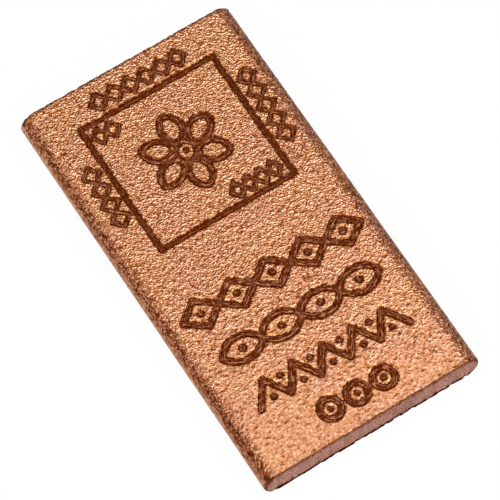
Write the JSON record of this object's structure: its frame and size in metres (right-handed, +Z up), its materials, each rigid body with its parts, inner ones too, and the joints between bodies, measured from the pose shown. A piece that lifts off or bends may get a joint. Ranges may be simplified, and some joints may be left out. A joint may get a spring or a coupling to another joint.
{
  "type": "copper ingot",
  "caption": "Flat copper ingot cut from round-edged bar, with flat cut ends, broken end edges and an engraved square frame on its top face.",
  "frame": {"origin": "middle of the flat underside, where the bar rests", "axes": "+X across the bar's width, +Y along its length towards the engraved frame's end, +Z up through its thickness"},
  "size_m": [0.039, 0.073, 0.0058],
  "materials": {
    "copper": "satin"
  },
  "bodies": {
    "root": {"copper_bar": "copper"}
  },
  "joints": []
}
